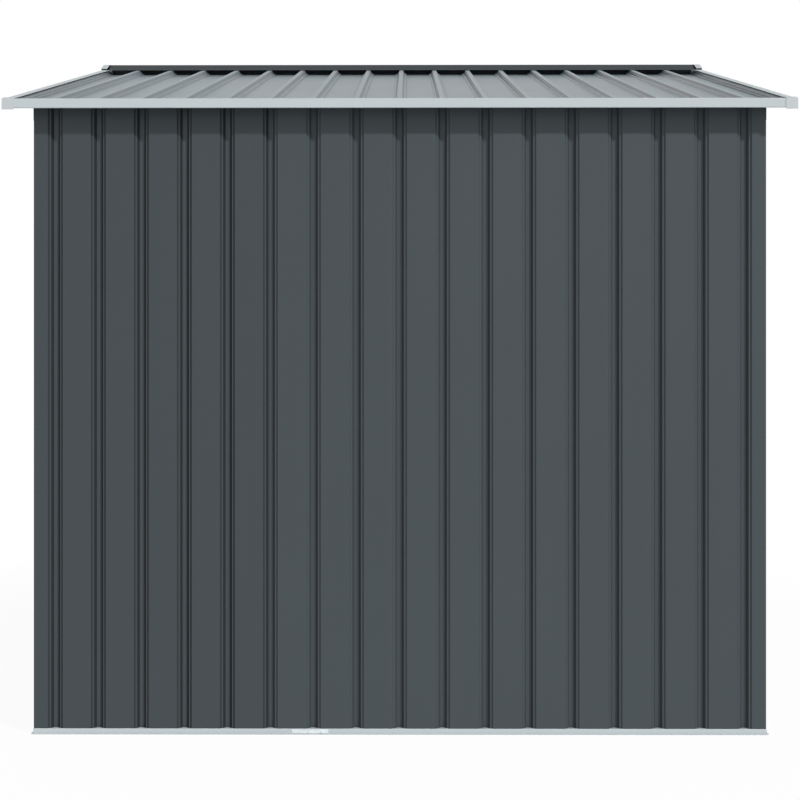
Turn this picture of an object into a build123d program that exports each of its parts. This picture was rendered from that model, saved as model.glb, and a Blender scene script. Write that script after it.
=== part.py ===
from build123d import *
import math
import os

# Metal storage shed: ribbed steel walls and roof on a folded base frame, with silver trims.
# Millimetres. X runs along the ridge, Y across it and Z is up.
# The origin is on the ground in the middle of the footprint.
# The side wall at -Y is called near and the one at +Y far.
# The gable end at +X is the front, with the doors, and the one at -X is the back.

# Ribbed sheet of the walls, doors and roof: each groove has two steps on either flank
sheet = 0.4
groove_pitch = 107.0
groove_depth = 15.0
groove_floor = 12.0
flank_run = 5.0
shoulder_run = 3.5
shoulder_depth = 4.5
lead_run = 4.0
seam_lap = 8.0

# Walls
side_groove_count = 17
left_panel_groove_count = 5
wall_width = 2654.0
wall_height = 1565.0
corner_return = 20.0
corner_flat = 30.0
gable_lap = 40.0
seat_gap = 0.2

# Roof
roof_pitch_deg = 13.65
eave_overhang = 58.0
gable_overhang = 66.0
ridge_opening = 12.0
edge_rib_inset = 7.5
edge_rib_drop = 2.5

# Eave and gable-edge trims with the caps over their corners
trim = 1.0
eave_trim_height = 22.5
eave_trim_flange = 14.0
eave_trim_hem = 4.0
rake_trim_width = 24.0
cap_wall = 1.2
cap_gap = 0.3
corner_cap_length = 29.5
corner_cap_depth = 30.0
corner_cap_drop = 3.6

# Ridge cap, the caps on its two ends and the dark seals between them
ridge_sheet = 0.6
ridge_half_width = 50.0
ridge_rise = 24.8
ridge_crown = 8.0
ridge_end_wall = 1.2
ridge_end_length = 19.0
ridge_end_gap = 4.2
ridge_end_skirt = 8.0
ridge_seal_width = 5.5

# Base frame
rail = 1.0
rail_face = 13.8
rail_upstand = 40.0
rail_foot = 5.5
splice_length = 92.0
splice_height = 11.0
rail_seam_shift = 98.5

# Inner frame under the roof and along the walls
bar = 1.0
top_rail_drop = 30.0
top_rail_leg = 25.0
purlin_share = 0.5
purlin_width = 40.0
purlin_depth = 30.0
ridge_beam_width = 44.0
ridge_beam_depth = 40.0
mid_rail_height = 780.0
mid_rail_width = 40.0
mid_rail_depth = 18.0

# Doors in the front gable
door_opening = 1120.0
jamb_return = 12.0
jamb_flat = 8.0
header_height = 46.0
header_depth = 30.0
header_lip = 25.0
header_gap = 3.0
door_overlap = 30.0
door_clearance = 3.0
door_meeting_gap = 2.0
door_tuck = 23.0
door_edge_flat = 40.0
door_plate = 1.0
track_width = 26.0
track_guide = 12.0
handle_height = 900.0
handle_length = 170.0
handle_width = 18.0
handle_reach = 34.0
handle_grip = 11.0
handle_corner = 9.0

# Derived lengths of the walls
half_groove = groove_floor / 2 + flank_run + shoulder_run + lead_run
half_length = side_groove_count * groove_pitch / 2
half_width = wall_width / 2
gable_face = half_length - sheet - seat_gap
gable_half_span = half_width - sheet - seat_gap
side_inner = half_width - groove_depth - sheet - seat_gap
gable_inner = gable_face - groove_depth - sheet - seat_gap
flank_depth = groove_depth - shoulder_depth
lap_step = sheet * math.hypot(flank_run, flank_depth) / flank_run + seat_gap
door_half = door_opening / 2

# Derived slope of the roof: heights are taken on the underside of the sheet between its ribs
slope = math.tan(math.radians(roof_pitch_deg))
slope_cos = math.cos(math.radians(roof_pitch_deg))
slope_sin = math.sin(math.radians(roof_pitch_deg))
ridge_height = wall_height + seat_gap + slope * half_width
rib_height = groove_depth + 2 * sheet
roof_half_length = half_length + gable_overhang
roof_half_width = half_width + eave_overhang
rake_outer = roof_half_length - cap_wall - cap_gap
rake_inner = rake_outer - rake_trim_width
eave_outer = roof_half_width - cap_wall - cap_gap
reach = roof_half_length + roof_half_width


def roof_underside(distance, rise=0):
    """Height under the roof sheet at a distance from the ridge, raised at right angles to the slope."""
    return ridge_height - slope * distance + rise / slope_cos


def offset_line(points, distance):
    """The same bent line moved to its left by a distance, with mitred corners."""
    normals = []
    for (x0, y0), (x1, y1) in zip(points, points[1:]):
        length = math.hypot(x1 - x0, y1 - y0)
        normals.append(((y0 - y1) / length, (x1 - x0) / length))
    moved = []
    for index, (x, y) in enumerate(points):
        ax, ay = normals[max(index - 1, 0)]
        bx, by = normals[min(index, len(normals) - 1)]
        scale = distance / (1 + ax * bx + ay * by)
        moved.append((x + (ax + bx) * scale, y + (ay + by) * scale))
    return moved


def folded(points, thickness):
    """Closed outline of a sheet bent along a line, with its thickness on the left of the line."""
    return list(points) + offset_line(points, thickness)[::-1]


def prism(points, plane, length):
    """Solid with a closed outline drawn on a plane, drawn out along the normal of that plane."""
    outline = make_face(Polyline(*points, close=True))
    return extrude(plane * outline, amount=length, dir=plane.z_dir)


def upright(points, low, high):
    """Solid with an outline in plan, between two heights."""
    return prism(points, Plane((0, 0, low)), high - low)


def along_x(points, start, end):
    """Solid with an outline in Y and Z, between two places on X."""
    return prism(points, Plane((start, 0, 0), x_dir=(0, 1, 0), z_dir=(1, 0, 0)), end - start)


def near_slope(points, start, end):
    """Solid with an outline across the near roof slope, between two distances down the slope."""
    down = Vector(0, -slope_cos, -slope_sin)
    plane = Plane(Vector(0, 0, ridge_height) + down * start, x_dir=(1, 0, 0), z_dir=down)
    return prism(points, plane, end - start)


def to_far(part):
    """Turn a near piece to the far side."""
    return Rotation(0, 0, 180) * part


def to_front(part):
    """Turn a piece that faces -Y to the front gable."""
    return Rotation(0, 0, 90) * part


def to_back(part):
    """Turn a piece that faces -Y to the back gable."""
    return Rotation(0, 0, -90) * part


def flank_in(center, depth=groove_depth):
    """Points from the flat of the sheet down to the left corner of a groove's floor."""
    edge = center - half_groove
    foot = center - groove_floor / 2
    return [
        (edge, 0),
        (edge + lead_run, shoulder_depth),
        (edge + lead_run + shoulder_run, shoulder_depth),
        (foot - flank_run * (groove_depth - depth) / flank_depth, depth),
    ]


def flank_out(center, depth=groove_depth):
    """Points from the right corner of a groove's floor back up to the flat of the sheet."""
    return [(2 * center - x, y) for x, y in flank_in(center, depth)][::-1]


def ribbed_line(start, centers, end):
    """Bent line of a ribbed sheet: its start, a groove at each centre and its end."""
    line = list(start)
    for center in centers:
        line += flank_in(center) + flank_out(center)
    return line + list(end)


def under_seam(center):
    """End of a sheet whose last groove floor lies under the next sheet."""
    return flank_in(center) + [(center + seam_lap / 2, groove_depth)]


def over_seam(center, lift):
    """Start of a sheet whose first groove floor lies over the last sheet, lifted by one thickness."""
    depth = groove_depth + lift
    return [(center - seam_lap / 2, depth)] + flank_out(center, depth)


def wall_sheet(line, face, low, high):
    """Ribbed wall sheet that faces -Y at a distance from the middle."""
    return upright([(x, y - face) for x, y in folded(line, sheet)], low, high)


# Groove centres on the side walls and on the gable ends
side_centers = [(i + 0.5) * groove_pitch - half_length for i in range(side_groove_count)]
side_seam = side_centers[left_panel_groove_count]
end_reach = half_width - corner_flat - half_groove
end_count = int(end_reach / groove_pitch + 0.5)
end_right = [(i + 0.5) * groove_pitch for i in range(end_count)]
end_left = [-center for center in reversed(end_right)]
end_seam = end_right[0]


def side_wall_panels():
    """Left and right sheets of the near wall, lapped in one groove, each bent round its corner."""
    left = ribbed_line(
        [(-half_length, corner_return), (-half_length, 0)],
        side_centers[:left_panel_groove_count],
        under_seam(side_seam),
    )
    right = ribbed_line(
        over_seam(side_seam, -sheet),
        side_centers[left_panel_groove_count + 1:],
        [(half_length, 0), (half_length, corner_return)],
    )
    return [wall_sheet(line, half_width, rail_face, wall_height) for line in (left, right)]


def end_panel_lines(half_span):
    """Bent lines of the two sheets across a gable end, lapped in the groove beside its middle."""
    left = ribbed_line([(-half_span, 0)], end_left, under_seam(end_seam))
    right = ribbed_line(over_seam(end_seam, -sheet), end_right[1:], [(half_span, 0)])
    return left, right


def back_wall_panels():
    """Lower sheets of the back, facing -Y before they are turned."""
    lines = end_panel_lines(gable_half_span)
    return [wall_sheet(line, gable_face, rail_face, wall_height) for line in lines]


def front_wall_panels():
    """Lower sheets beside the doorway, each with a return at the jamb."""
    centers = [c for c in end_right if c - half_groove >= door_half + jamb_flat]
    line = ribbed_line([(door_half, jamb_return), (door_half, 0)], centers, [(gable_half_span, 0)])
    right = wall_sheet(line, gable_face, rail_face, wall_height)
    return mirror(right, about=Plane.YZ), right


def gable_panels():
    """Upper sheets of a gable end, cut to the slope and lapped over the sheets below."""
    low = wall_height - gable_lap
    eave = roof_underside(half_width) - seat_gap
    peak = roof_underside(0) - seat_gap
    outline = [(-half_width, low), (half_width, low), (half_width, eave), (0, peak), (-half_width, eave)]
    plane = Plane((0, 0, 0), x_dir=(1, 0, 0), z_dir=(0, -1, 0))
    gable = prism(outline, plane, reach)
    face = gable_face + lap_step
    return [wall_sheet(line, face, low, peak) & gable for line in end_panel_lines(half_width)]


def roof_panels():
    """Left and right sheets of the near slope, lapped on the middle rib, with a lower rib at each edge."""
    edge = rake_inner + edge_rib_inset + groove_floor / 2
    edge_depth = groove_depth - edge_rib_drop
    count = int((edge - 2 * half_groove) / groove_pitch)
    centers = [(i + 1) * groove_pitch for i in range(count)]
    limit = rake_outer - trim - seat_gap
    right_edge = flank_in(edge, edge_depth) + [(limit, edge_depth)]
    left_edge = [(-x, y) for x, y in right_edge][::-1]
    left = ribbed_line(left_edge, [-c for c in reversed(centers)], under_seam(0))
    right = ribbed_line(over_seam(0, sheet), centers, right_edge)
    end = (eave_outer - trim - seat_gap - rib_height * slope_sin) / slope_cos
    return [near_slope(folded(line, sheet), ridge_opening, end) for line in (left, right)]


def eave_trim_profile():
    """Bent line of the near eave trim: top flange, face and a hem along the bottom."""
    top = roof_underside(eave_outer, rib_height + seat_gap + trim)
    low = top - eave_trim_height
    flange = (eave_trim_flange - eave_outer, top + slope * eave_trim_flange)
    return [flange, (-eave_outer, top), (-eave_outer, low), (eave_trim_hem - eave_outer, low)]


def eave_trim():
    """Folded strip along the near eave, over the ends of the ribs."""
    half = rake_inner - seat_gap
    return along_x(folded(eave_trim_profile(), trim), -half, half)


def rake_trims(side):
    """Folded strips along both slopes of one gable edge: side is 1 at the front and -1 at the back."""
    top = rib_height + seat_gap + trim
    low = top - eave_trim_height * slope_cos
    line = [(rake_outer, low), (rake_outer, top), (rake_inner, top)]
    strip = near_slope(folded(line, trim), -top, roof_half_width / slope_cos)
    span = [(-eave_outer, 0), (-seat_gap, 0), (-seat_gap, 2 * ridge_height), (-eave_outer, 2 * ridge_height)]
    near = strip & along_x(span, -reach, reach)
    if side < 0:
        near = mirror(near, about=Plane.YZ)
    return near, mirror(near, about=Plane.XZ)


def corner_cap():
    """Cap over the near front corner, where the eave trim meets the gable-edge trim, open below."""
    _, top, low, _ = eave_trim_profile()
    inside, back = -eave_outer - cap_gap, corner_cap_depth - eave_outer
    roof, bottom = top[1] + cap_gap, low[1] - corner_cap_drop
    rise = slope * (back - inside)
    line = [(inside, bottom), (inside, roof), (back, roof + rise)]
    start = roof_half_length - corner_cap_length
    cover = along_x(folded(line, cap_wall), start, roof_half_length)
    cheek = offset_line(line, cap_wall) + [(back, bottom + rise)]
    return cover + along_x(cheek, rake_outer + cap_gap, roof_half_length)


def ridge_line(lift):
    """Bent line under the ridge cap, with its lips lifted off the gable-edge trims that carry it."""
    bed = roof_underside(ridge_half_width, rib_height + trim + 2 * seat_gap)
    lip, crown = bed + lift, bed + ridge_rise
    half = ridge_crown / 2
    return [(-ridge_half_width, lip), (-half, crown), (half, crown), (ridge_half_width, lip)]


ridge_end = roof_half_length - ridge_end_length


def ridge_cap():
    """Folded cap along the ridge, resting on the trims of both gable edges."""
    half = ridge_end - ridge_seal_width - 2 * seat_gap
    return along_x(folded(ridge_line(0), ridge_sheet), -half, half)


def ridge_seal():
    """Strip of the same profile between the front end of the ridge cap and its end cap."""
    end = ridge_end - seat_gap
    return along_x(folded(ridge_line(0), ridge_sheet), end - ridge_seal_width, end)


def ridge_end_cap():
    """Cap over the front end of the ridge and the tops of the gable-edge trims."""
    line = ridge_line(ridge_end_gap)
    shell = along_x(folded(line, ridge_end_wall), ridge_end, roof_half_length)
    top = offset_line(line, ridge_end_wall)
    skirt = [(y, roof_underside(abs(y), rib_height - ridge_end_skirt)) for y, _ in (top[3], top[0])]
    middle = (0, roof_underside(0, rib_height - ridge_end_skirt))
    plate = along_x(top + [skirt[0], middle, skirt[1]], rake_outer + cap_gap, roof_half_length)
    return shell + plate


def base_rail(out, inner, start, end):
    """Folded base rail that faces -Y: foot, face, ledge under the wall and upstand behind it.

    start and end give the place of each end on the outer face and on the inner face.
    """
    toe = -out - rail_foot
    face = rail - out
    ledge = rail_face - rail
    line = [(toe, 0), (face, 0), (face, ledge), (-inner, ledge), (-inner, rail_upstand)]
    plan = [
        (start[0], toe),
        (end[0], toe),
        (end[0], -out),
        (end[1], -inner),
        (start[1], -inner),
        (start[0], -out),
    ]
    return along_x(folded(line, rail), -reach, reach) & upright(plan, 0, rail_upstand)


rail_side_out = half_width + seat_gap + rail
rail_side_in = side_inner - rail
rail_end_out = half_length + seat_gap + rail
rail_end_in = gable_inner - rail
rail_seam = side_seam + rail_seam_shift


def side_rails():
    """Left and right pieces of the near base rail."""
    corner = (rail_end_out, rail_end_in)
    back = (-rail_end_out, -rail_end_in)
    seam = (rail_seam, rail_seam)
    left = base_rail(rail_side_out, rail_side_in, back, seam)
    right = base_rail(rail_side_out, rail_side_in, seam, corner)
    return left, right


def rail_splice():
    """Plate on the face of the near base rail, over the joint of its two pieces."""
    low = (rail_face + rail - splice_height) / 2
    outer = -rail_side_out - rail
    half = splice_length / 2
    plan = [
        (rail_seam - half, -rail_side_out),
        (rail_seam - half + rail, outer),
        (rail_seam + half - rail, outer),
        (rail_seam + half, -rail_side_out),
    ]
    return upright(plan, low, low + splice_height)


def end_rails():
    """Base rails of a gable end: the whole rail, and the two pieces beside a doorway."""
    corner = (rail_side_out, rail_side_in)
    other = (-rail_side_out, -rail_side_in)
    jamb = (door_half, door_half)
    whole = base_rail(rail_end_out, rail_end_in, other, corner)
    right = base_rail(rail_end_out, rail_end_in, jamb, corner)
    return whole, mirror(right, about=Plane.YZ), right


def door_threshold():
    """Raised sill between the two front rails, folded as a hat with a foot outside."""
    outer, inner = -rail_end_out + rail, -rail_end_in - rail
    top = rail_face - rail
    line = [(outer - rail - rail_foot, 0), (outer, 0), (outer, top), (inner, top), (inner, 0)]
    half = door_half - seat_gap
    return along_x(folded(line, rail), -half, half)


header_top = wall_height - top_rail_drop - header_gap
door_head = header_top - header_height


def door_header():
    """Folded track over the doorway, open at the bottom, that the doors hang in."""
    line = [
        (-gable_inner, door_head),
        (-gable_inner, header_top),
        (-gable_inner + header_depth, header_top),
        (-gable_inner + header_depth, header_top - header_lip),
    ]
    return along_x(folded(line, -bar), -side_inner, side_inner)


def door_track():
    """Folded guide on the ground behind the front rails, that the doors stand in."""
    outer = -rail_end_in + seat_gap
    inner = outer + track_width
    half = rail_side_in - seat_gap
    return along_x(folded([(outer, 0), (inner, 0), (inner, track_guide)], rail), -half, half)


door_face = rail_end_in - door_clearance
leaf_start = door_meeting_gap / 2
leaf_end = door_half + door_overlap
leaf_width = leaf_end - leaf_start
leaf_grooves = int((leaf_width - 2 * door_edge_flat - 2 * half_groove) / groove_pitch) + 1
leaf_margin = (leaf_width - (leaf_grooves - 1) * groove_pitch) / 2


def door_leaf():
    """Right door leaf: a ribbed sheet with returns down its sides and plates across its ends."""
    centers = [leaf_start + leaf_margin + i * groove_pitch for i in range(leaf_grooves)]
    back = groove_depth + sheet
    line = ribbed_line([(leaf_start, back), (leaf_start, 0)], centers, [(leaf_end, 0), (leaf_end, back)])
    top = door_head + door_tuck
    skin = wall_sheet(line, door_face, rail, top)
    plan = [
        (leaf_start, -door_face),
        (leaf_end, -door_face),
        (leaf_end, -door_face + back),
        (leaf_start, -door_face + back),
    ]
    return skin + upright(plan, rail, rail + door_plate) + upright(plan, top - door_plate, top)


def door_handle():
    """Pull handle on the right leaf, between its meeting edge and its first groove."""
    center = leaf_start + (leaf_margin - half_groove) / 2
    bow = RectangleRounded(2 * handle_reach, handle_length, handle_corner)
    room = handle_length - 2 * handle_grip
    gap = RectangleRounded(2 * (handle_reach - handle_grip), room, handle_corner / 2)
    outside = Pos(-handle_reach / 2, 0) * Rectangle(handle_reach, handle_length)
    plane = Plane((center - handle_width / 2, -door_face, handle_height), x_dir=(0, 1, 0), z_dir=(1, 0, 0))
    return extrude(plane * ((bow - gap) & outside), amount=handle_width, dir=(1, 0, 0))


frame_half = gable_inner - top_rail_leg - seat_gap


def top_rail():
    """Angle along the top of the near wall, under the edge of the roof."""
    outer, leg, inner = side_inner, side_inner - bar, side_inner - top_rail_leg
    outline = [
        (-outer, roof_underside(outer) - seat_gap),
        (-inner, roof_underside(inner) - seat_gap),
        (-inner, roof_underside(inner, -bar) - seat_gap),
        (-leg, roof_underside(leg, -bar) - seat_gap),
        (-leg, roof_underside(outer) - top_rail_drop),
        (-outer, roof_underside(outer) - top_rail_drop),
    ]
    return along_x(outline, -frame_half, frame_half)


def slope_plate(drop, start, end):
    """Plate under the near roof slope, from the ridge to the wall, between two places on X."""
    outer = side_inner
    outline = [
        (-seat_gap, roof_underside(0) - seat_gap),
        (-outer, roof_underside(outer) - seat_gap),
        (-outer, roof_underside(outer) - seat_gap - drop),
        (-seat_gap, roof_underside(0) - seat_gap - drop),
    ]
    return along_x(outline, start, end)


def rafters(side):
    """Angles under both slopes, along the inside of one gable end."""
    near = slope_plate(top_rail_drop, gable_inner - bar, gable_inner)
    near += slope_plate(bar / slope_cos, gable_inner - top_rail_leg, gable_inner)
    if side < 0:
        near = mirror(near, about=Plane.YZ)
    return near, mirror(near, about=Plane.XZ)


def purlin():
    """Folded channel under the middle of the near slope."""
    down = half_width * purlin_share / slope_cos
    half = purlin_width / 2
    line = [(-half, -purlin_depth), (-half, 0), (half, 0), (half, -purlin_depth)]
    origin = Vector(-frame_half, 0, ridge_height) + Vector(0, -slope_cos, -slope_sin) * down
    origin += Vector(0, slope_sin, -slope_cos) * seat_gap
    plane = Plane(origin, x_dir=(0, slope_cos, slope_sin), z_dir=(1, 0, 0))
    return prism(folded(line, -bar), plane, 2 * frame_half)


def ridge_beam():
    """Folded beam under the ridge, with its top bent to both slopes."""
    half = ridge_beam_width / 2
    top = roof_underside(0) - seat_gap
    edge = roof_underside(half) - seat_gap
    low = top - ridge_beam_depth
    line = [(-half, low), (-half, edge), (0, top), (half, edge), (half, low)]
    return along_x(folded(line, -bar), -frame_half, frame_half)


def mid_rail(face, start, end):
    """Folded channel half way up a wall that faces -Y, against the floors of its grooves."""
    low = mid_rail_height - mid_rail_width / 2
    high = mid_rail_height + mid_rail_width / 2
    outer, inner = -face, -face + mid_rail_depth
    return along_x(folded([(inner, high), (outer, high), (outer, low), (inner, low)], bar), start, end)


def build_nodes():
    """All pieces of the shed by name."""
    near_left, near_right = side_wall_panels()
    back_far, back_near = (to_back(panel) for panel in back_wall_panels())
    front_near, front_far = (to_front(panel) for panel in front_wall_panels())
    upper = gable_panels()
    roof_left, roof_right = roof_panels()
    rail_left, rail_right = side_rails()
    whole_rail, jamb_rail_near, jamb_rail_far = end_rails()
    leaf, handle = door_leaf(), door_handle()
    cap = corner_cap()
    caps = [cap, mirror(cap, about=Plane.YZ)]
    ridge_tip = [ridge_end_cap(), ridge_seal()]
    front_rakes, back_rakes = rake_trims(1), rake_trims(-1)
    side_mid = mid_rail(side_inner, -gable_inner, gable_inner - header_depth - seat_gap)
    back_mid_half = side_inner - mid_rail_depth - seat_gap
    back_mid = to_back(mid_rail(gable_inner, -back_mid_half, back_mid_half))
    trim_near, beam = eave_trim(), purlin()
    splice = rail_splice()
    top = top_rail()
    return {
        "near_base_rail_left": rail_left,
        "near_base_rail_right": rail_right,
        "far_base_rail_left": to_far(rail_left),
        "far_base_rail_right": to_far(rail_right),
        "back_base_rail": to_back(whole_rail),
        "front_base_rail_near": to_front(jamb_rail_near),
        "front_base_rail_far": to_front(jamb_rail_far),
        "base_rail_splices": [splice, to_far(splice)],
        "near_wall_panel_left": near_left,
        "near_wall_panel_right": near_right,
        "far_wall_panel_left": to_far(near_left),
        "far_wall_panel_right": to_far(near_right),
        "back_wall_panel_near": back_near,
        "back_wall_panel_far": back_far,
        "front_wall_panel_near": front_near,
        "front_wall_panel_far": front_far,
        "back_gable_panel_near": to_back(upper[1]),
        "back_gable_panel_far": to_back(upper[0]),
        "front_gable_panel_near": to_front(upper[0]),
        "front_gable_panel_far": to_front(upper[1]),
        "door_threshold": to_front(door_threshold()),
        "door_track": to_front(door_track()),
        "door_header": to_front(door_header()),
        "door_leaf_near": to_front(mirror(leaf, about=Plane.YZ)),
        "door_leaf_far": to_front(leaf),
        "door_handles": [to_front(handle), to_front(mirror(handle, about=Plane.YZ))],
        "near_roof_panel_left": roof_left,
        "near_roof_panel_right": roof_right,
        "far_roof_panel_left": to_far(roof_left),
        "far_roof_panel_right": to_far(roof_right),
        "near_eave_trim": trim_near,
        "far_eave_trim": to_far(trim_near),
        "front_rake_trim_near": front_rakes[0],
        "front_rake_trim_far": front_rakes[1],
        "back_rake_trim_near": back_rakes[0],
        "back_rake_trim_far": back_rakes[1],
        "eave_corner_caps": caps + [to_far(piece) for piece in caps],
        "ridge_cap": ridge_cap(),
        "ridge_end_caps": ridge_tip + [mirror(piece, about=Plane.YZ) for piece in ridge_tip],
        "wall_top_rails": [top, to_far(top)],
        "front_rafters": list(rafters(1)),
        "back_rafters": list(rafters(-1)),
        "roof_purlins": [beam, to_far(beam)],
        "ridge_beam": ridge_beam(),
        "wall_mid_rails": [side_mid, mirror(side_mid, about=Plane.XZ), back_mid],
    }


os.makedirs("parts", exist_ok=True)
for name, piece in build_nodes().items():
    solids = piece if isinstance(piece, list) else [piece]
    bodies = [solid for part in solids for solid in part.solids()]
    export_step(Compound(children=bodies), f"parts/{name}.step")
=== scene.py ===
import math

import bpy
from mathutils import Matrix, Vector


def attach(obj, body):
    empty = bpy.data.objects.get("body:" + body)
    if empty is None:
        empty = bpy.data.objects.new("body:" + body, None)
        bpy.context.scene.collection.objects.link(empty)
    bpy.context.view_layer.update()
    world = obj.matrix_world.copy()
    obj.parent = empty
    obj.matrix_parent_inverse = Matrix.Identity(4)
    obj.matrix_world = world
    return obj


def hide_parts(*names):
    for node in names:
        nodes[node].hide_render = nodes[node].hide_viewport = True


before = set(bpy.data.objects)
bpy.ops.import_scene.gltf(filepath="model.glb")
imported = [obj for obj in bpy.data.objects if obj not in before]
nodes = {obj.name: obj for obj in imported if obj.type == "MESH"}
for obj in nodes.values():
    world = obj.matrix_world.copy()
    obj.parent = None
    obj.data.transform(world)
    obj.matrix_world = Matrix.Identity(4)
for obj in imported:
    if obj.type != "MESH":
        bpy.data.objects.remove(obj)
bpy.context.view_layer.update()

# Metres in a millimetre
MM = 0.001

# Sizes of the shed's solids in millimetres, first those of the ribbed sheets
sheet = 0.4
groove_pitch = 107.0
groove_depth = 15.0
groove_floor = 12.0
flank_run = 5.0
shoulder_run = 3.5
shoulder_depth = 4.5
lead_run = 4.0
seam_lap = 8.0
seat_gap = 0.2

# Walls and gables
side_groove_count = 17
left_panel_groove_count = 5
half_width = 1327.0
wall_height = 1565.0
corner_return = 20.0
corner_flat = 30.0
gable_lap = 40.0
top_rail_drop = 30.0

# Roof, its trims and its ridge
roof_pitch = math.radians(13.65)
eave_overhang = 58.0
gable_overhang = 66.0
ridge_opening = 12.0
edge_rib_inset = 7.5
edge_rib_drop = 2.5
trim = 1.0
eave_trim_height = 22.5
eave_trim_flange = 14.0
eave_trim_hem = 4.0
rake_trim_width = 24.0
cap_skin = 1.5
ridge_sheet = 0.6
ridge_half_width = 50.0
ridge_rise = 24.8
ridge_crown = 8.0
ridge_end_length = 19.0
ridge_seal_width = 5.5

# Base rails
rail = 1.0
rail_face = 13.8
rail_upstand = 40.0
rail_foot = 5.5
rail_seam_shift = 98.5

# Doorway
door_half = 560.0
jamb_return = 12.0
jamb_flat = 8.0
header_height = 46.0
header_gap = 3.0
door_overlap = 30.0
door_clearance = 3.0
door_meeting_gap = 2.0
door_tuck = 23.0
door_edge_flat = 40.0
door_plate = 1.0

# Bends, which only this model rounds: inner radii and the angle between the points of an arc
sheet_bend = 1.2
strip_bend = 0.8
seal_bend = 0.5
arc_step = math.radians(14)

# The share of a run that one bend may take, and the turn in radians below which a line is straight
bend_share = 0.45
straight_turn = 1e-4

# Rubber skin on the ridge seals, and how many skins it reaches under the lip and adds in all
seal_skin = 0.1
lip_skins = 1.6
seal_skins = 2.5

# Painted shade as shares of a paint's own: painted light on the floor of a wall's groove, and less
# painted shade on the roof's edge ribs
painted_floor_light = -0.25
edge_painted_shading = 0.4

# Painted shade (positive) and painted light (negative) on the roof's flanks that face left and right:
# on the lead, low and high on the steep run
left_shares = (0.3, -1.15, 0.2)
right_shares = (0.9, 0.15, 1.0)

# The height that parts low from high, and the slant above which a run is steep
shading_split_height = 7.5
steep_slant = 0.85

# Lengths that follow from the sizes
half_groove = groove_floor / 2 + flank_run + shoulder_run + lead_run
half_length = side_groove_count * groove_pitch / 2
gable_face = half_length - sheet - seat_gap
gable_half_span = half_width - sheet - seat_gap
side_inner = half_width - groove_depth - sheet - seat_gap
gable_inner = gable_face - groove_depth - sheet - seat_gap
flank_depth = groove_depth - shoulder_depth
lap_step = sheet * math.hypot(flank_run, flank_depth) / flank_run + seat_gap
slope = math.tan(roof_pitch)
slope_cos = math.cos(roof_pitch)
slope_sin = math.sin(roof_pitch)
ridge_height = wall_height + seat_gap + slope * half_width
rib_height = groove_depth + 2 * sheet
rake_outer = half_length + gable_overhang - cap_skin
rake_inner = rake_outer - rake_trim_width
ridge_end = half_length + gable_overhang - ridge_end_length
eave_outer = half_width + eave_overhang - cap_skin
rail_side_out = half_width + seat_gap + rail
rail_side_in = side_inner - rail
rail_end_out = half_length + seat_gap + rail
rail_end_in = gable_inner - rail
header_top = wall_height - top_rail_drop - header_gap
door_head = header_top - header_height
door_face = rail_end_in - door_clearance
leaf_start = door_meeting_gap / 2
leaf_end = door_half + door_overlap
leaf_width = leaf_end - leaf_start
leaf_grooves = int((leaf_width - 2 * door_edge_flat - 2 * half_groove) / groove_pitch) + 1
leaf_margin = (leaf_width - (leaf_grooves - 1) * groove_pitch) / 2


def roof_underside(distance, rise=0):
    """Height under the roof sheet at a distance from the ridge, raised at right angles to it."""
    return ridge_height - slope * distance + rise / slope_cos


# Bent lines of the ribbed sheets
def flank_in(center, depth=groove_depth):
    """From the flat of the sheet down to the left corner of a groove's floor."""
    edge = center - half_groove
    foot = center - groove_floor / 2
    return [
        (edge, 0),
        (edge + lead_run, shoulder_depth),
        (edge + lead_run + shoulder_run, shoulder_depth),
        (foot - flank_run * (groove_depth - depth) / flank_depth, depth),
    ]


def flank_out(center, depth=groove_depth):
    """From the right corner of a groove's floor back up to the flat of the sheet."""
    return [(2 * center - u, v) for u, v in flank_in(center, depth)][::-1]


def ribbed_line(start, centers, end):
    """Start of a ribbed sheet, a groove at each centre, and its end."""
    line = list(start)
    for center in centers:
        line += flank_in(center) + flank_out(center)
    return line + list(end)


def crossed(line, level):
    """The same line with a point wherever it crosses a level."""
    out = line[:1]
    for (u0, v0), (u1, v1) in zip(line, line[1:]):
        if (v0 - level) * (v1 - level) < 0:
            out.append((u0 + (u1 - u0) * (level - v0) / (v1 - v0), level))
        out.append((u1, v1))
    return out


def under_seam(center):
    """End of a sheet whose last groove floor lies under the next sheet."""
    return flank_in(center) + [(center + seam_lap / 2, groove_depth)]


def over_seam(center, lift):
    """Start of a sheet whose first groove floor lies over the last sheet."""
    depth = groove_depth + lift
    return [(center - seam_lap / 2, depth)] + flank_out(center, depth)


side_centers = [(i + 0.5) * groove_pitch - half_length for i in range(side_groove_count)]
side_seam = side_centers[left_panel_groove_count]
rail_seam = side_seam + rail_seam_shift
end_count = int((half_width - corner_flat - half_groove) / groove_pitch + 0.5)
end_right = [(i + 0.5) * groove_pitch for i in range(end_count)]
end_left = [-center for center in reversed(end_right)]
end_seam = end_right[0]


def end_lines(half_span):
    """The two sheets across a gable end, with a point on the ridge line."""
    left = ribbed_line([(-half_span, 0)], end_left, [(0, 0)] + under_seam(end_seam))
    right = ribbed_line(over_seam(end_seam, -sheet), end_right[1:], [(half_span, 0)])
    return left, right


# Places: the axes u, v and w of a piece's own drawing, set in the shed
FRONT, BACK, FAR = 90, -90, 180
X_AXIS, Y_AXIS, Z_AXIS = (1, 0, 0), (0, 1, 0), (0, 0, 1)
both_sides = (("near", 0), ("far", FAR))


def place(origin, u, v, w):
    """Matrix with an origin and the directions of the three axes."""
    columns = [Vector(u), Vector(v), Vector(w), Vector(origin)]
    matrix = Matrix.Identity(4)
    for j, column in enumerate(columns):
        for i in range(3):
            matrix[i][j] = column[i]
    return matrix


def turned(degrees, matrix):
    return Matrix.Rotation(math.radians(degrees), 4, "Z") @ matrix


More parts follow.
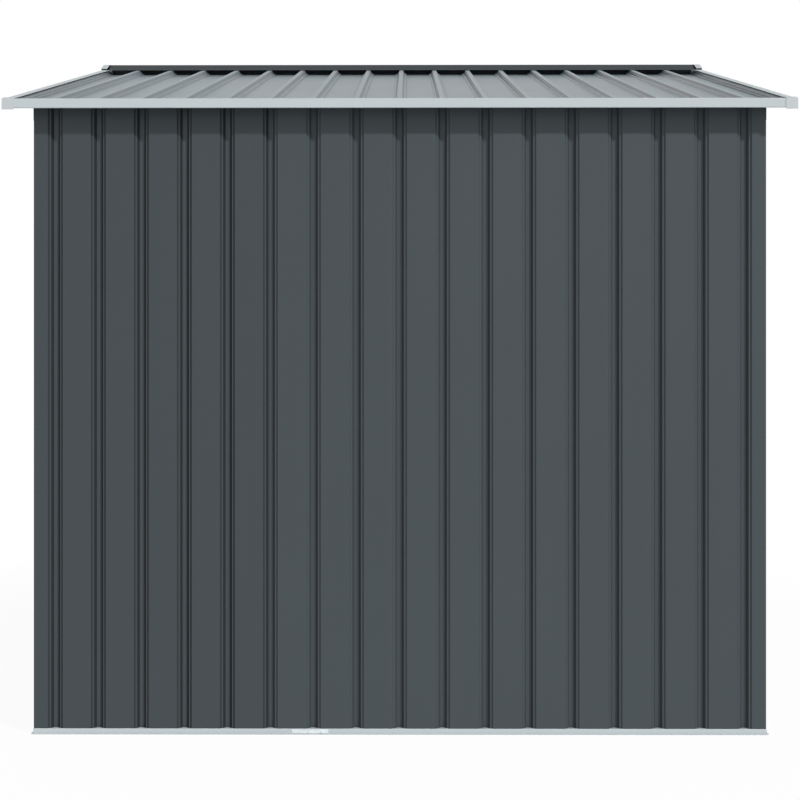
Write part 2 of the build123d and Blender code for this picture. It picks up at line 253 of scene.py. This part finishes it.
def mirrored(axis, matrix):
    return Matrix.Scale(-1, 4, axis) @ matrix


def wall_place(face):
    """Upright sheet at a distance in front of the middle, with its grooves turned inwards."""
    return place((0, -face, 0), X_AXIS, Y_AXIS, Z_AXIS)


def front_pair(matrix):
    """Places on the far and the near half of the front gable, each the mirror image of the other."""
    return ("far", turned(FRONT, matrix)), ("near", turned(FRONT, mirrored(X_AXIS, matrix)))


slope_place = place(
    (0, 0, ridge_height), X_AXIS, (0, -slope_sin, slope_cos), (0, -slope_cos, -slope_sin)
)
run_place = place((0, 0, 0), Y_AXIS, Z_AXIS, X_AXIS)

# Codes: the side of a sheet that is inside, and the finish of a face
line_side, other_side = 0, 1
paint_finish, cut_finish, backing_finish = 0, 1, 2


def rounded(line, thick, radius):
    """Points, left-hand normals and bend marks along a bent line with its corners rounded."""
    points = [Vector(p) for p in line]
    out = []
    for i, point in enumerate(points):
        before = (point - points[i - 1]) if i else (points[1] - point)
        after = (points[i + 1] - point) if i + 1 < len(points) else before
        room = bend_share * min(before.length, after.length)
        before, after = before.normalized(), after.normalized()
        normal = Vector((-before.y, before.x))
        turn = math.atan2(before.x * after.y - before.y * after.x, before.dot(after))
        if abs(turn) < straight_turn:
            out.append((point, normal, 0.0))
            continue
        side = math.copysign(1, turn)
        half_tan = math.tan(abs(turn) / 2)
        arc = radius + (thick if turn > 0 else 0)
        arc = min(arc * half_tan, room) / half_tan
        center = point - before * arc * half_tan + normal * arc * side
        steps = max(2, math.ceil(abs(turn) / arc_step))
        for k in range(steps + 1):
            spun = Matrix.Rotation(turn * k / steps, 2) @ normal
            mark = 1.0 - abs(2 * k / steps - 1)
            out.append((center - spun * arc * side, spun, mark))
    return out


def painted_shading_share(run, inside, reach):
    """Share of a paint's painted shade (positive) or painted light (negative) on a run of a rounded
    line, by its slant and its height.
    """
    (start, start_normal, _), (end, end_normal, _) = run
    tilt = (start_normal.x + end_normal.x) / 2
    share = abs(tilt)
    if inside == line_side:
        lead, low, high = right_shares if tilt > 0 else left_shares
        steep = high if start.y + end.y > 2 * shading_split_height else low
        share *= steep if share > steep_slant else lead
    # Less painted shade on the roof's edge ribs
    if abs(start.x) >= reach:
        share *= edge_painted_shading
    # Painted light on the floors of the wall grooves
    if inside == other_side and share == 0 and start.y > groove_depth / 2:
        share = painted_floor_light
    return share


def added(name, data):
    """New object in the scene."""
    obj = bpy.data.objects.new(name, data)
    bpy.context.scene.collection.objects.link(obj)
    return obj


class Shells:
    """Closed shells of bent sheet, gathered into one mesh with finishes, painted shade and light, and
    marks on bends.
    """

    def __init__(self):
        self.points = []
        self.marks = []
        self.faces = []
        self.normals = []
        self.finishes = []
        self.painted_shading = []

    def face(self, corners, normals, finish, flip, painted_shading=0.0):
        if flip:
            corners, normals = corners[::-1], normals[::-1]
        self.faces.append(corners)
        self.normals += normals
        self.finishes.append(finish)
        self.painted_shading.append(painted_shading)

    def sheet(self, line, thick, low, high, matrix, radius=sheet_bend, inside=None, reach=math.inf):
        """Sheet bent along a line, thick to its left, drawn out between two ends on w.

        The inside has the backing coat. Beyond the reach from the middle lie the roof's edge ribs.
        """
        finish = [paint_finish, paint_finish]
        if inside is not None:
            finish[inside] = backing_finish
        profile = rounded(line, thick, radius)
        count = len(profile)
        first = len(self.points)
        flip = matrix.determinant() < 0
        spin = matrix.to_3x3()
        for lift in (0, thick):
            for end in (low, high):
                for point, normal, mark in profile:
                    u, v = point + normal * lift
                    w = end(u, v) if callable(end) else end
                    self.points.append((matrix @ Vector((u, v, w))) * MM)
                    self.marks.append(mark)
        turn_normal = [(spin @ Vector((n.x, n.y, 0))).normalized() for _, n, _ in profile]

        def at(side, end, i):
            return first + (side * 2 + end) * count + i

        def cut_face(*corners):
            a, b, c, d = (self.points[k] for k in corners)
            normal = (c - a).cross(d - b).normalized()
            self.face(corners, [-normal if flip else normal] * 4, cut_finish, flip)

        for i in range(count - 1):
            n0, n1 = turn_normal[i], turn_normal[i + 1]
            # Painted shade and light of this face, by its slant and height
            painted_shading = painted_shading_share(profile[i:i + 2], inside, reach)
            quad = (at(0, 0, i), at(0, 0, i + 1), at(0, 1, i + 1), at(0, 1, i))
            self.face(quad, [-n0, -n1, -n1, -n0], finish[line_side], flip, painted_shading)
            quad = (at(1, 0, i), at(1, 1, i), at(1, 1, i + 1), at(1, 0, i + 1))
            self.face(quad, [n0, n0, n1, n1], finish[other_side], flip, painted_shading)
            cut_face(at(0, 0, i), at(1, 0, i), at(1, 0, i + 1), at(0, 0, i + 1))
            cut_face(at(0, 1, i), at(0, 1, i + 1), at(1, 1, i + 1), at(1, 1, i))
        last = count - 1
        cut_face(at(0, 0, 0), at(0, 1, 0), at(1, 1, 0), at(1, 0, 0))
        cut_face(at(0, 0, last), at(1, 0, last), at(1, 1, last), at(0, 1, last))
        return self

    def piece(self, name, materials, slot, *replaced):
        """Object of all the shells, which stands for CAD nodes."""
        mesh = bpy.data.meshes.new(name)
        mesh.from_pydata([tuple(p) for p in self.points], [], self.faces)
        mesh.shade_smooth()
        mesh.normals_split_custom_set([tuple(n) for n in self.normals])
        marks = mesh.attributes.new("bend", "FLOAT", "POINT")
        marks.data.foreach_set("value", self.marks)
        # Face attribute that carries the painted shade and light
        painted_shading = mesh.attributes.new("painted_shading", "FLOAT", "FACE")
        painted_shading.data.foreach_set("value", self.painted_shading)
        for mat in materials:
            mesh.materials.append(mat)
        last = len(materials) - 1
        mesh.polygons.foreach_set("material_index", [min(finish, last) for finish in self.finishes])
        obj = added(name, mesh)
        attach(obj, "root")
        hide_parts(*replaced)


# Shader nodes
noise_low, noise_high = 0.25, 0.75


def add(tree, kind, **values):
    """Node with its settings and inputs: a socket as value makes a link, and i0 is the first input."""
    made = tree.nodes.new(kind)
    for key, value in values.items():
        if hasattr(made, key) and key not in made.inputs:
            setattr(made, key, value)
            continue
        by_place = key[0] == "i" and key[1:].isdigit()
        socket = made.inputs[int(key[1:]) if by_place else key]
        if isinstance(value, bpy.types.NodeSocket):
            tree.links.new(value, socket)
        else:
            socket.default_value = value
    return made


def math_node(tree, operation, a, b):
    return add(tree, "ShaderNodeMath", operation=operation, i0=a, i1=b).outputs[0]


def times(tree, a, b):
    return math_node(tree, "MULTIPLY", a, b)


def mapped(tree, value, start, stop, low=0.0, high=1.0, kind="LINEAR"):
    """Value that goes from low to high as another goes from start to stop."""
    made = add(tree, "ShaderNodeMapRange", Value=value, interpolation_type=kind)
    limits = {"From Min": start, "From Max": stop, "To Min": low, "To Max": high}
    for key, limit in limits.items():
        made.inputs[key].default_value = limit
    return made.outputs["Result"]


def noise(tree, vector, scale, detail):
    return add(tree, "ShaderNodeTexNoise", Vector=vector, Scale=scale, Detail=detail).outputs["Fac"]


def varied(tree, vector, scale, detail, low, high):
    """Noise between a low and a high value."""
    return mapped(tree, noise(tree, vector, scale, detail), noise_low, noise_high, low, high)


def stretched(tree, vector, scale):
    return add(tree, "ShaderNodeMapping", Vector=vector, Scale=scale).outputs["Vector"]


def attribute(tree, name):
    return add(tree, "ShaderNodeAttribute", attribute_name=name).outputs["Fac"]


def tinted(tree, color, factor):
    """Colour times a factor socket."""
    made = add(tree, "ShaderNodeVectorMath", operation="SCALE", i0=color, Scale=factor)
    return made.outputs["Vector"]


def blended(tree, share, low, high):
    """Value that goes from low to high as a share goes from 0 to 1."""
    return add(tree, "ShaderNodeMix", data_type="FLOAT", i0=share, i2=low, i3=high).outputs[0]


def bumped(tree, shader, height, strength, distance):
    bump = add(tree, "ShaderNodeBump", Height=height, Strength=strength, Distance=distance)
    tree.links.new(bump.outputs["Normal"], shader.inputs["Normal"])


def started(name):
    """New material: itself, its node tree, its shader and the object coordinates."""
    mat = bpy.data.materials.new(name)
    mat.use_nodes = True
    tree = mat.node_tree
    shader = tree.nodes["Principled BSDF"]
    coords = tree.nodes.new("ShaderNodeTexCoord").outputs["Object"]
    return mat, tree, shader, coords


# Paint: gloss of a rubbed bend, dulling where shade and light are painted, relief of the draw lines,
# and the sheen's look
rub_gloss = 0.4
painted_shading_dulling = 0.6
line_relief = 0.6
sheen_rough = 0.7
sheen_tint = (0.70, 0.87, 0.95, 1.0)


def paint(
    name, color, rough, specular,
    drawn=(55, 55, 1.2), wear=0.25, painted_shading=0.0, sheen=0.0, mottle=0.05,
):
    """Coil-coated sheet: clouds, draw lines, orange peel, polished bends, and painted shade and light
    on the flanks.
    """
    mat, tree, shader, coords = started(name)
    cloud = varied(tree, coords, scale=2.3, detail=3, low=0.975, high=1.025)
    lines = varied(tree, stretched(tree, coords, drawn), scale=1.0, detail=2, low=0.985, high=1.015)
    speck = varied(tree, coords, scale=420, detail=1, low=0.985, high=1.015)
    spots = varied(tree, coords, scale=24, detail=3, low=0.0, high=wear)
    rubbed = times(tree, attribute(tree, "bend"), spots)
    shading_mask = attribute(tree, "painted_shading")
    tone = times(tree, times(tree, cloud, lines), speck)
    tone = times(tree, tone, math_node(tree, "ADD", rubbed, 1.0))
    # Painted shade darkens the base colour by the face's share, and painted light brightens it
    tone = times(tree, tone, math_node(tree, "SUBTRACT", 1.0, times(tree, shading_mask, painted_shading)))
    tree.links.new(tinted(tree, color, tone), shader.inputs["Base Color"])
    dull = varied(tree, coords, scale=5.0, detail=4, low=rough - mottle, high=rough + mottle)
    dull = math_node(tree, "SUBTRACT", dull, times(tree, rubbed, rub_gloss))
    dull = math_node(tree, "ADD", dull, times(tree, shading_mask, painted_shading_dulling * painted_shading))
    tree.links.new(dull, shader.inputs["Roughness"])
    shader.inputs["Specular IOR Level"].default_value = specular
    shader.inputs["Sheen Weight"].default_value = sheen
    shader.inputs["Sheen Roughness"].default_value = sheen_rough
    shader.inputs["Sheen Tint"].default_value = sheen_tint
    peel = noise(tree, coords, scale=520, detail=2)
    peel = math_node(tree, "ADD", peel, times(tree, lines, line_relief))
    bumped(tree, shader, peel, strength=0.12, distance=0.00008)
    return mat


# Zinc: size of the spangle, how metallic it is, and how much duller and glossier its crystals are
spangle_scale = 95.0
zinc_metal = 0.9
duller, glossier = 0.08, 0.06


def galvanised(name, color, rough):
    """Zinc coat: crystal spangle of differing tone and gloss."""
    mat, tree, shader, coords = started(name)
    cells = add(tree, "ShaderNodeTexVoronoi", Vector=coords, Scale=spangle_scale)
    grey = add(tree, "ShaderNodeSeparateColor", Color=cells.outputs["Color"]).outputs[0]
    spangle = mapped(tree, grey, start=0.0, stop=1.0, low=0.86, high=1.08)
    cloud = varied(tree, coords, scale=6.0, detail=3, low=0.95, high=1.05)
    tone = times(tree, spangle, cloud)
    tree.links.new(tinted(tree, color, tone), shader.inputs["Base Color"])
    dull = mapped(tree, grey, start=0.0, stop=1.0, low=rough + duller, high=rough - glossier)
    tree.links.new(dull, shader.inputs["Roughness"])
    shader.inputs["Metallic"].default_value = zinc_metal
    bumped(tree, shader, noise(tree, coords, scale=300, detail=2), strength=0.08, distance=0.0001)
    return mat


# Plastic: size of the specks beside the grain, and change of roughness
speck_share = 0.6
plastic_mottle = 0.04


def plastic(name, color, rough, grain, strength, specular=0.4):
    """Moulded plastic or rubber: fine spark grain and slight change of tone."""
    mat, tree, shader, coords = started(name)
    cloud = varied(tree, coords, scale=18, detail=3, low=0.97, high=1.03)
    speck = varied(tree, coords, scale=grain * speck_share, detail=1, low=0.98, high=1.02)
    tone = times(tree, cloud, speck)
    tree.links.new(tinted(tree, color, tone), shader.inputs["Base Color"])
    low, high = rough - plastic_mottle, rough + plastic_mottle
    dull = varied(tree, coords, scale=40, detail=3, low=low, high=high)
    tree.links.new(dull, shader.inputs["Roughness"])
    shader.inputs["Specular IOR Level"].default_value = specular
    bumped(tree, shader, noise(tree, coords, scale=grain, detail=2), strength, distance=0.00015)
    return mat


# Colours, and the painted shade that makes the left sheets of the side walls and the ridge cap darker
# than the same anthracite elsewhere
anthracite = (0.050, 0.063, 0.069)
backing_grey = (0.10, 0.125, 0.135)
silver = (0.50, 0.55, 0.57)
cap_silver = (0.51, 0.55, 0.565)
handle_black = (0.024, 0.028, 0.031)
rubber_black = (0.006, 0.006, 0.0065)
zinc_grey = (0.62, 0.63, 0.64)
bright_grey = (0.75, 0.81, 0.83)
left_shade, ridge_shade = 0.89, 0.72
anthracite_left_shaded = tuple(left_shade * c for c in anthracite)
anthracite_ridge_shaded = tuple(ridge_shade * c for c in anthracite)

# Materials
wall_paint = paint("wall_paint", anthracite, rough=0.5, specular=0.3)
# Painted shade on the left sheets of the side walls: darker overall and on the flanks, with painted
# light on the groove floors
wall_paint_left_shaded = paint("wall_paint_left_shaded", anthracite_left_shaded, rough=0.5, specular=0.3, painted_shading=0.6)
# Roof paint with painted shade and light on its flanks
roof_paint = paint(
    "roof_paint", anthracite, rough=0.34, specular=0.5,
    drawn=(55, 1.2, 5), painted_shading=0.2, sheen=0.28, mottle=0.015,
)
# Painted shade: the ridge cap is the walls' anthracite, darkened
ridge_paint_shaded = paint("ridge_paint_shaded", anthracite_ridge_shaded, rough=0.5, specular=0.22, drawn=(1.2, 55, 55))
backing = paint("backing_coat", backing_grey, rough=0.6, specular=0.25)
trim_paint = paint("trim_paint", silver, rough=0.48, specular=0.3, drawn=(1.2, 1.2, 90), wear=0.06)
cap_plastic = plastic("cap_plastic", cap_silver, rough=0.5, grain=900, strength=0.15)
handle_plastic = plastic("handle_plastic", handle_black, rough=0.45, grain=700, strength=0.3)
rubber = plastic("seal_rubber", rubber_black, rough=0.85, grain=1200, strength=0.2, specular=0.05)
zinc = galvanised("galvanised_steel", zinc_grey, rough=0.42)
bright_zinc = galvanised("bright_zinc", bright_grey, rough=0.42)
skin = [wall_paint, zinc, backing]
skin_left = [wall_paint_left_shaded, zinc, backing]
skin_roof = [roof_paint, zinc, backing]
skin_ridge = [ridge_paint_shaded, zinc, backing]
strip = [trim_paint]


def wall_piece(node, finish, line, low, high, matrix):
    """Ribbed wall sheet in place of a node, with its backing coat towards the inside of the shed."""
    shells = Shells().sheet(line, sheet, low, high, matrix, inside=other_side)
    shells.piece(node + "_sheet", finish, "wall_paint", node)


def strip_piece(node, line, thick, low, high, matrix):
    """Folded trim or rail in place of a node."""
    shells = Shells().sheet(line, thick, low, high, matrix, strip_bend)
    shells.piece(node + "_strip", strip, "trim_paint", node)


# Side walls: two lapped sheets each, bent round the corners
left_line = ribbed_line(
    [(-half_length, corner_return), (-half_length, 0)],
    side_centers[:left_panel_groove_count],
    under_seam(side_seam),
)
right_line = ribbed_line(
    over_seam(side_seam, -sheet),
    side_centers[left_panel_groove_count + 1:],
    [(half_length, 0), (half_length, corner_return)],
)
for side, spin in both_sides:
    matrix = turned(spin, wall_place(half_width))
    for part, line, finish in (("left", left_line, skin_left), ("right", right_line, skin)):
        wall_piece(f"{side}_wall_panel_{part}", finish, line, rail_face, wall_height, matrix)

# Back wall, front walls beside the doorway, and the gable sheets over both
matrix = turned(BACK, wall_place(gable_face))
for part, line in zip(("far", "near"), end_lines(gable_half_span)):
    wall_piece(f"back_wall_panel_{part}", skin, line, rail_face, wall_height, matrix)
jamb_centers = [c for c in end_right if c - half_groove >= door_half + jamb_flat]
jamb_start = [(door_half, jamb_return), (door_half, 0)]
jamb_line = ribbed_line(jamb_start, jamb_centers, [(gable_half_span, 0)])
for part, matrix in front_pair(wall_place(gable_face)):
    wall_piece(f"front_wall_panel_{part}", skin, jamb_line, rail_face, wall_height, matrix)


def gable_top(u, v):
    """Upper end of a gable sheet, cut to the slope of the roof."""
    return roof_underside(abs(u)) - seat_gap


gable_low = wall_height - gable_lap
for end, spin, parts in (("front", FRONT, ("near", "far")), ("back", BACK, ("far", "near"))):
    matrix = turned(spin, wall_place(gable_face + lap_step))
    for part, line in zip(parts, end_lines(half_width)):
        wall_piece(f"{end}_gable_panel_{part}", skin, line, gable_low, gable_top, matrix)

# Roof: two lapped sheets on each slope, with a lower rib along each gable edge
edge_rib = rake_inner + edge_rib_inset + groove_floor / 2
roof_count = int((edge_rib - 2 * half_groove) / groove_pitch)
roof_centers = [(i + 1) * groove_pitch for i in range(roof_count)]
edge_depth = groove_depth - edge_rib_drop
right_edge = flank_in(edge_rib, edge_depth) + [(rake_outer - trim - seat_gap, edge_depth)]
left_edge = [(-u, v) for u, v in right_edge][::-1]
roof_left = ribbed_line(left_edge, [-c for c in reversed(roof_centers)], under_seam(0))
roof_right = ribbed_line(over_seam(0, sheet), roof_centers, right_edge)
roof_end = (eave_outer - trim - seat_gap - rib_height * slope_sin) / slope_cos
edge_reach = edge_rib - groove_pitch / 2
for side, spin in both_sides:
    matrix = turned(spin, slope_place)
    for part, line in (("left", roof_left), ("right", roof_right)):
        node = f"{side}_roof_panel_{part}"
        # The line gets a point at the height that parts low from high painted shade
        shells = Shells().sheet(
            crossed(line, shading_split_height), sheet, ridge_opening, roof_end, matrix,
            inside=line_side, reach=edge_reach,
        )
        shells.piece(node + "_sheet", skin_roof, "wall_paint", node)

# Eave trims
eave_top = roof_underside(eave_outer, rib_height + seat_gap + trim)
eave_low = eave_top - eave_trim_height
eave_line = [
    (eave_trim_flange - eave_outer, eave_top + slope * eave_trim_flange),
    (-eave_outer, eave_top),
    (-eave_outer, eave_low),
    (eave_trim_hem - eave_outer, eave_low),
]
trim_half = rake_inner - seat_gap
for side, spin in both_sides:
    strip_piece(f"{side}_eave_trim", eave_line, trim, -trim_half, trim_half, turned(spin, run_place))


# Rake trims
def cut_at(distance):
    """End of a trim that is cut upright at a distance from the ridge."""
    return lambda u, v: (distance - v * slope_sin) / slope_cos


rake_top = rib_height + seat_gap + trim
rake_line = [
    (rake_outer, rake_top - eave_trim_height * slope_cos),
    (rake_outer, rake_top),
    (rake_inner, rake_top),
]
rake_low, rake_high = cut_at(seat_gap), cut_at(eave_outer)
for end in ("front", "back"):
    for side in ("near", "far"):
        matrix = slope_place if end == "front" else mirrored(X_AXIS, slope_place)
        matrix = matrix if side == "near" else mirrored(Y_AXIS, matrix)
        strip_piece(f"{end}_rake_trim_{side}", rake_line, trim, rake_low, rake_high, matrix)

# Ridge cap
lip = roof_underside(ridge_half_width, rib_height + trim + 2 * seat_gap)
ridge_line = [
    (-ridge_half_width, lip),
    (-ridge_crown / 2, lip + ridge_rise),
    (ridge_crown / 2, lip + ridge_rise),
    (ridge_half_width, lip),
]
ridge_half = ridge_end - ridge_seal_width - 2 * seat_gap
shells = Shells().sheet(ridge_line, ridge_sheet, -ridge_half, ridge_half, run_place, inside=line_side)
shells.piece("ridge_cap_sheet", skin_ridge, "wall_paint", "ridge_cap")

# Rubber round the seals between the ridge cap and its ends
seal_lip = (ridge_half_width + seal_skin, lip - lip_skins * seal_skin)
seal_line = [(y, z - seal_skin) for y, z in ridge_line[1:3]]
seal_line = [(-seal_lip[0], seal_lip[1])] + seal_line + [seal_lip]
seal_thick = ridge_sheet + seal_skins * seal_skin
seal_inner = ridge_half + seat_gap - seal_skin
seal_outer = ridge_end - seat_gap + seal_skin
shells = Shells()
for matrix in (run_place, mirrored(X_AXIS, run_place)):
    shells.sheet(seal_line, seal_thick, seal_inner, seal_outer, matrix, seal_bend)
shells.piece("ridge_seal_skins", [rubber], "cap_plastic")


# Base rails: foot, face, ledge and upstand folded from one strip, mitred at the corners
def mitred(outer, inner, out, back):
    """End of a rail that runs from its outer length on the face to its inner length on the back."""
    def end(u, v):
        share = min(max((u + out) / (out - back), 0), 1)
        return outer + (inner - outer) * share
    return end


def rail_piece(node, out, back, start, end, matrix):
    """Base rail between its face and its back, with a mitre or a square cut at each end."""
    toe = -out - rail_foot
    ledge = rail_face - rail
    line = [(toe, 0), (rail - out, 0), (rail - out, ledge), (-back, ledge), (-back, rail_upstand)]
    strip_piece(node, line, rail, mitred(*start, out, back), mitred(*end, out, back), matrix)


side_corner = (rail_end_out, rail_end_in)
side_far_corner = (-rail_end_out, -rail_end_in)
end_corner = (rail_side_out, rail_side_in)
end_far_corner = (-rail_side_out, -rail_side_in)
seam_cut = (rail_seam, rail_seam)
jamb_cut = (door_half, door_half)
for side, spin in both_sides:
    matrix = turned(spin, run_place)
    for part, start, end in (("left", side_far_corner, seam_cut), ("right", seam_cut, side_corner)):
        rail_piece(f"{side}_base_rail_{part}", rail_side_out, rail_side_in, start, end, matrix)
matrix = turned(BACK, run_place)
rail_piece("back_base_rail", rail_end_out, rail_end_in, end_far_corner, end_corner, matrix)
for part, matrix in front_pair(run_place):
    rail_piece(f"front_base_rail_{part}", rail_end_out, rail_end_in, jamb_cut, end_corner, matrix)

# Doorway: the sill, and two ribbed leaves with a plate at the foot and at the head
sill_out, sill_in = rail - rail_end_out, -rail_end_in - rail
sill_top = rail_face - rail
sill_line = [
    (sill_out - rail - rail_foot, 0),
    (sill_out, 0),
    (sill_out, sill_top),
    (sill_in, sill_top),
    (sill_in, 0),
]
sill_half = door_half - seat_gap
strip_piece("door_threshold", sill_line, rail, -sill_half, sill_half, turned(FRONT, run_place))
leaf_centers = [leaf_start + leaf_margin + i * groove_pitch for i in range(leaf_grooves)]
leaf_back = groove_depth + sheet
leaf_line = ribbed_line(
    [(leaf_start, leaf_back), (leaf_start, 0)],
    leaf_centers,
    [(leaf_end, 0), (leaf_end, leaf_back)],
)
leaf_top = door_head + door_tuck
plate_inset = sheet / 4
plate_line = [(leaf_start + plate_inset, plate_inset), (leaf_end - plate_inset, plate_inset)]
plate_thick = leaf_back - 2 * plate_inset
for part, matrix in front_pair(wall_place(door_face)):
    node = f"door_leaf_{part}"
    shells = Shells().sheet(leaf_line, sheet, rail, leaf_top, matrix, inside=other_side)
    shells.sheet(plate_line, plate_thick, rail + plate_inset, rail + door_plate, matrix)
    shells.sheet(plate_line, plate_thick, leaf_top - door_plate, leaf_top - plate_inset, matrix)
    shells.piece(node + "_sheet", skin, "wall_paint", node)

# Solids that keep their CAD shape: finish, width of the softened edges in millimetres, and their steps
weld_reach = 0.00001
soft_angle = math.radians(25)
inner_frame = (
    "door_track", "wall_top_rails", "front_rafters", "back_rafters",
    "roof_purlins", "ridge_beam", "wall_mid_rails",
)
softened = {
    "base_rail_splices": (bright_zinc, 0.35, 2),
    "door_header": (trim_paint, 0.35, 2),
    "eave_corner_caps": (cap_plastic, 0.5, 3),
    "ridge_end_caps": (cap_plastic, 0.25, 3),
    "door_handles": (handle_plastic, 2.5, 4),
}
for node in inner_frame:
    softened[node] = (zinc, 0.3, 2)
for node, (mat, width, steps) in softened.items():
    obj = nodes[node]
    weld = obj.modifiers.new("weld", "WELD")
    weld.merge_threshold = weld_reach
    bevel = obj.modifiers.new("soft_edges", "BEVEL")
    bevel.width = width * MM
    bevel.segments = steps
    bevel.limit_method = "ANGLE"
    bevel.angle_limit = soft_angle
    bevel.harden_normals = True
    obj.data.materials.clear()
    obj.data.materials.append(mat)


# Surroundings: white where they show, with a level of light that falls off towards the ceiling
def white_rays(tree):
    """1 for rays that show the surroundings, 0 for those that light surfaces."""
    path = tree.nodes.new("ShaderNodeLightPath").outputs
    shown = math_node(tree, "MAXIMUM", path["Is Camera Ray"], path["Is Glossy Ray"])
    return math_node(tree, "MAXIMUM", shown, path["Is Transmission Ray"])


ambient_low, ambient_high = 0.7, 0.28
backdrop_low, backdrop_high = 1.0, 0.3
ceiling_start, ceiling_stop = math.sin(math.radians(22)), math.sin(math.radians(55))
world = bpy.data.worlds.new("studio")
bpy.context.scene.world = world
world.use_nodes = True
tree = world.node_tree
toward_sky = tree.nodes.new("ShaderNodeTexCoord").outputs["Generated"]
height = add(tree, "ShaderNodeSeparateXYZ", Vector=toward_sky).outputs["Z"]
ceiling = mapped(tree, height, ceiling_start, ceiling_stop, kind="SMOOTHSTEP")
ambient = blended(tree, ceiling, ambient_low, ambient_high)
backdrop = blended(tree, ceiling, backdrop_low, backdrop_high)
level = blended(tree, white_rays(tree), ambient, backdrop)
tree.links.new(level, tree.nodes["Background"].inputs["Strength"])
tree.nodes["Background"].inputs["Color"].default_value = (1, 1, 1, 1)

# Floor: glows white with a share of plain floor for the shadow near the shed, and is plain inside it
floor_reach, floor_drop = 60.0, 0.0004
fade_start, fade_stop = 1.6, 4.0
near_glow = 0.94
floor_mesh = bpy.data.meshes.new("floor")
floor_mesh.from_pydata(
    [(x * floor_reach, y * floor_reach, -floor_drop) for x, y in ((-1, -1), (1, -1), (1, 1), (-1, 1))],
    [],
    [(0, 1, 2, 3)],
)
floor = added("floor", floor_mesh)
mat = bpy.data.materials.new("floor_white")
mat.use_nodes = True
tree = mat.node_tree
tree.nodes.remove(tree.nodes["Principled BSDF"])
coords = tree.nodes.new("ShaderNodeTexCoord").outputs["Object"]
grain = varied(tree, coords, scale=35, detail=2, low=0.94, high=0.96)
diffuse = add(tree, "ShaderNodeBsdfDiffuse", Color=tinted(tree, (1, 1, 1), grain))
level = blended(tree, white_rays(tree), ambient_low, 1.0)
glow = add(tree, "ShaderNodeEmission", Strength=level)
distance = add(tree, "ShaderNodeVectorMath", operation="LENGTH", i0=coords).outputs["Value"]
fade = mapped(tree, distance, fade_start, fade_stop, kind="SMOOTHSTEP")
across = add(tree, "ShaderNodeSeparateXYZ", Vector=coords).outputs
within = [
    math_node(tree, "LESS_THAN", math_node(tree, "ABSOLUTE", across[axis], 0), reach * MM)
    for axis, reach in (("X", half_length), ("Y", half_width))
]
outside = math_node(tree, "SUBTRACT", 1.0, times(tree, *within))
share = times(tree, blended(tree, fade, near_glow, 1.0), outside)
mixed = add(tree, "ShaderNodeMixShader", Fac=share, i1=diffuse.outputs[0], i2=glow.outputs[0])
tree.links.new(mixed.outputs[0], tree.nodes["Material Output"].inputs["Surface"])
floor_mesh.materials.append(mat)

# Key light from the upper right in front of the near wall
key_elevation, key_turn = math.radians(36.6), math.radians(42)
key_energy, key_spread = 2.25, math.radians(3)
key_data = bpy.data.lights.new("key", "SUN")
key_data.energy = key_energy
key_data.angle = key_spread
key = added("key", key_data)
toward = Vector((
    math.sin(key_turn) * math.cos(key_elevation),
    -math.cos(key_turn) * math.cos(key_elevation),
    math.sin(key_elevation),
))
key.rotation_mode = "QUATERNION"
key.rotation_quaternion = toward.to_track_quat("Z", "Y")

# Camera, level and square on to the near wall but for a small yaw
camera_sensor, camera_lens = 36.0, 75.3
camera_shift = (0.00174, -0.01363)
camera_place = (0.0194, -5.482, 0.857)
camera_tilt, camera_yaw = math.radians(90), math.radians(0.3)
camera_data = bpy.data.cameras.new("camera")
camera_data.sensor_width = camera_sensor
camera_data.lens = camera_lens
camera_data.shift_x, camera_data.shift_y = camera_shift
camera = added("camera", camera_data)
camera.location = camera_place
camera.rotation_euler = (camera_tilt, 0, camera_yaw)
bpy.context.scene.camera = camera
bpy.context.scene.view_settings.view_transform = "Standard"
